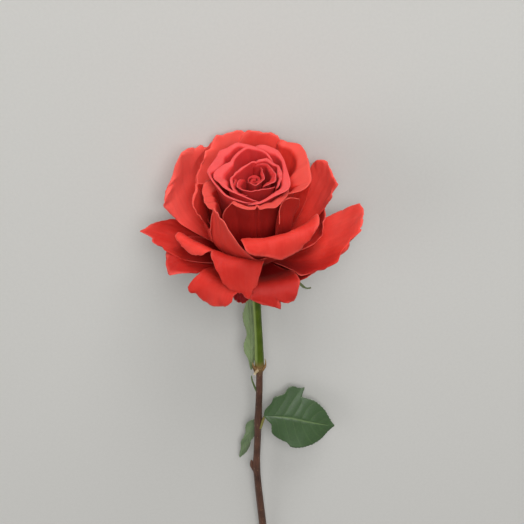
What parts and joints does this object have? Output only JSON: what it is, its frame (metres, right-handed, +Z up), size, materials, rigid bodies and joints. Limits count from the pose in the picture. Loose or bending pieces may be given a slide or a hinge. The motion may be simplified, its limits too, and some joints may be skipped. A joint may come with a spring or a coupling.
{
  "type": "cut rose flower",
  "caption": "Cut rose lying on its side: an open red bloom of layered petals on a green stalk with sepals, over a brown woody cane that carries toothed leaves.",
  "frame": {"origin": "middle of the bounding box, on the surface the flower lies on", "axes": "+Y along the stem from its cut end to the bloom, +Z up from the surface, +X to the right when looking along +Y from above"},
  "size_m": [0.1052, 0.2742, 0.0725],
  "materials": {
    "petal_red": "soft satin",
    "stalk_green": "smooth living bark",
    "cane_brown": "smooth living bark",
    "leaf_green": "waxy satin",
    "leaf_pale": "matt leaf underside"
  },
  "bodies": {
    "root": {"bloom": "petal_red", "stalk": "stalk_green", "cane": "cane_brown", "leaf_right": "leaf_green", "leaf_left": "leaf_green", "leaf_upper": "leaf_pale"}
  },
  "joints": []
}
